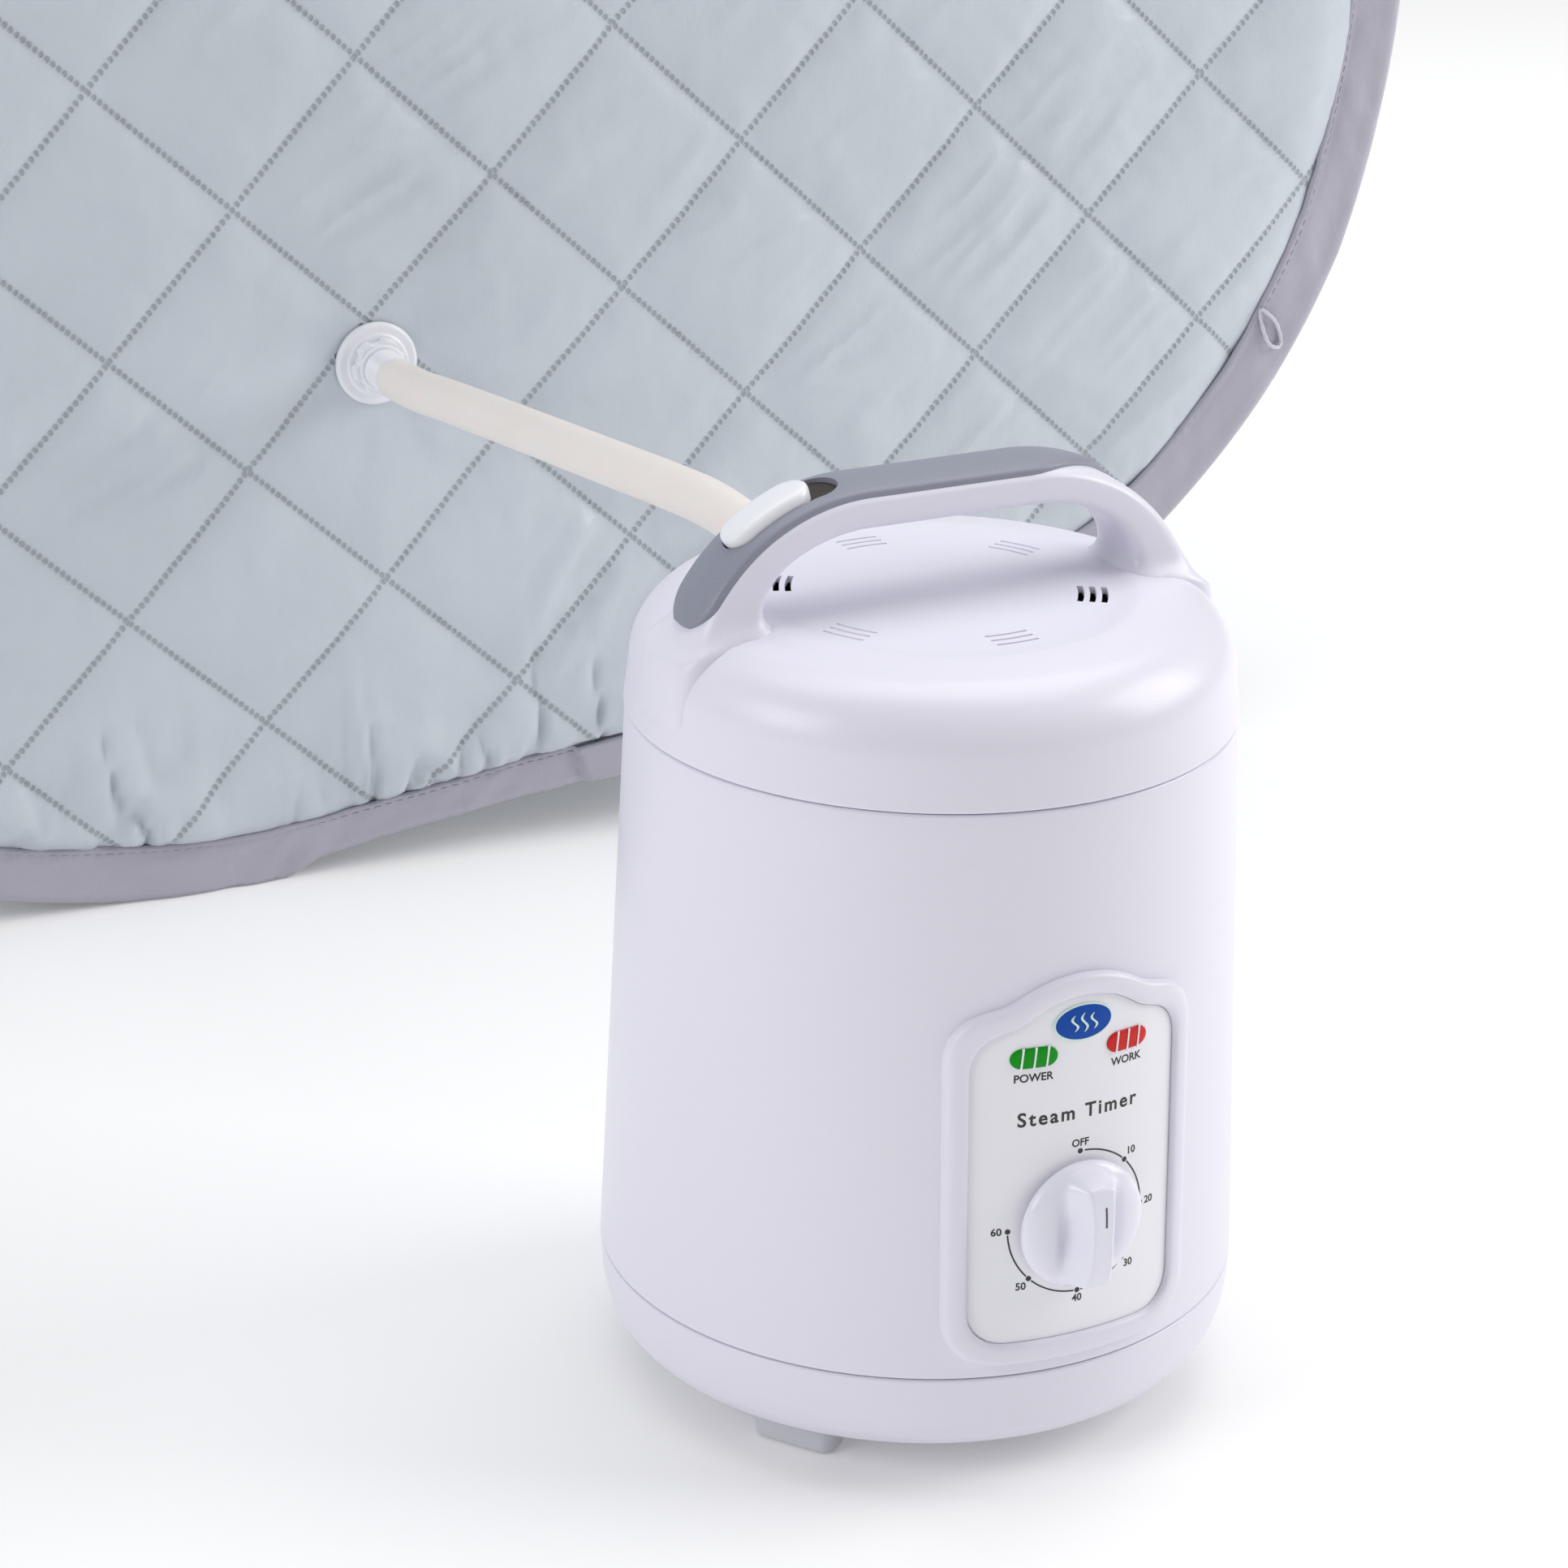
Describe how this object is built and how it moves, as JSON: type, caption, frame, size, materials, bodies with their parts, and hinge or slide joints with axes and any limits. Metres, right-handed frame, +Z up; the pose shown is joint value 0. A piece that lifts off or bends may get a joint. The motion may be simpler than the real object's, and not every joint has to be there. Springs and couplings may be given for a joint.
{
  "type": "portable steam sauna",
  "caption": "Pop-up quilted tent with a zipped door and neck collar, fed by a round steam generator pot through a short silicone hose.",
  "frame": {"origin": "centre of the floor under the whole object's box, halfway between the steam generator and the tent's door side", "axes": "+Z up, +Y from the steam generator into the tent's cabin, +X to the right for a person who faces the steam port"},
  "size_m": [0.916, 1.3364, 1.07],
  "materials": {
    "tent_fabric": "quilted, satin",
    "binding_fabric": "satin ribbon",
    "collar_fabric": "soft knit",
    "spring_wire": "spring steel",
    "zip_tape": "woven tape",
    "zip_metal": "polished",
    "white_plastic": "high gloss",
    "button_plastic": "satin gloss",
    "label_plastic": "satin, printed",
    "badge_blue": "satin",
    "green_lens": "tinted, translucent",
    "red_lens": "tinted, translucent",
    "lamp_glass": "clear",
    "grey_grip": "fine speckle, soft touch",
    "hose_silicone": "translucent silicone",
    "port_plastic": "satin",
    "foot_rubber": "matte",
    "stainless": "brushed",
    "aluminium_cast": "cast",
    "seal_silicone": "matte",
    "inner_plastic": "matte",
    "black_plastic": "matte",
    "knob_white": "gloss"
  },
  "bodies": {
    "sauna": {"badge": "badge_blue", "base_screws": "stainless", "body_shell": "white_plastic", "control_bezel": "white_plastic", "control_label": "label_plastic", "floor_panel": "tent_fabric", "front_binding": "binding_fabric", "front_hoop": "spring_wire", "front_panel": "tent_fabric", "heat_shield": "stainless", "heater_element": "stainless", "heater_plate": "aluminium_cast", "left_wall": "tent_fabric", "neck_collar": "collar_fabric", "neck_hem": "binding_fabric", "neck_strap": "binding_fabric", "port_diffuser": "port_plastic", "port_flange": "port_plastic", "port_nut": "port_plastic", "port_spigot": "port_plastic", "pot_base": "white_plastic", "pot_feet": "foot_rubber", "power_inlet": "black_plastic", "power_lamp": "lamp_glass", "power_lens": "green_lens", "rear_binding": "binding_fabric", "rear_hoop": "spring_wire", "rear_panel": "tent_fabric", "right_wall": "tent_fabric", "roof_panel": "tent_fabric", "steam_hose": "hose_silicone", "steam_nozzle": "port_plastic", "steam_pipe": "seal_silicone", "support_posts": "inner_plastic", "thermal_fuse": "inner_plastic", "thermostat": "aluminium_cast", "tie_loop": "binding_fabric", "timer_unit": "inner_plastic", "top_ring": "inner_plastic", "water_tank": "stainless", "work_lamp": "lamp_glass", "work_lens": "red_lens", "zip_ends": "zip_tape"},
    "seal": {"lid_seal": "seal_silicone"},
    "lid": {"lid_shell": "white_plastic", "inner_lid": "inner_plastic", "lid_posts": "inner_plastic", "handle": "white_plastic", "handle_grip": "grey_grip"},
    "lid_lock": {"lock_button": "button_plastic"},
    "timer_dial": {"timer_knob": "knob_white", "timer_shaft": "stainless"},
    "door_leaf_left": {"door_left": "tent_fabric", "zip_tape_left": "zip_tape"},
    "door_leaf_right": {"door_right": "tent_fabric", "zip_tape_right": "zip_tape"},
    "hand_cover_left": {"hand_flap_left": "tent_fabric"},
    "hand_cover_right": {"hand_flap_right": "tent_fabric"},
    "zip_pull": {"zip_slider": "zip_metal"}
  },
  "joints": [
    {"name": "lid_turn", "type": "hinge", "parent": "sauna", "child": "seal", "pos_m": [0.028, -0.5505, 0.21], "axis": [0, 0, 1], "range_deg": [0, 22]},
    {"name": "lid_lift", "type": "slide", "parent": "seal", "child": "lid", "axis": [0, 0, 1], "range_m": [0, 0.14]},
    {"name": "lock_slide", "type": "hinge", "parent": "lid", "child": "lid_lock", "pos_m": [0.00002, -0.55162, 0.2295], "axis": [-0.0401, 0.9992, 0], "range_deg": [0, 7.4]},
    {"name": "timer_turn", "type": "hinge", "parent": "sauna", "child": "timer_dial", "pos_m": [0.03201, -0.65042, 0.0872], "axis": [-0.0401, 0.9992, 0], "range_deg": [0, 270]},
    {"name": "door_left_swing", "type": "hinge", "parent": "sauna", "child": "door_leaf_left", "pos_m": [-0.19, 0.659, 0.455], "axis": [0, 0, 1], "range_deg": [0, 105]},
    {"name": "door_right_swing", "type": "hinge", "parent": "sauna", "child": "door_leaf_right", "pos_m": [0.19, 0.659, 0.455], "axis": [0, 0, 1], "range_deg": [-105, 0]},
    {"name": "hand_left_swing", "type": "hinge", "parent": "sauna", "child": "hand_cover_left", "pos_m": [-0.307, 0.659, 0.57], "axis": [1, 0, 0], "range_deg": [0, 95]},
    {"name": "hand_right_swing", "type": "hinge", "parent": "sauna", "child": "hand_cover_right", "pos_m": [0.307, 0.659, 0.57], "axis": [1, 0, 0], "range_deg": [0, 95]},
    {"name": "zip_slide", "type": "slide", "parent": "sauna", "child": "zip_pull", "axis": [0, 0, -1], "range_m": [0, 0.735]}
  ]
}
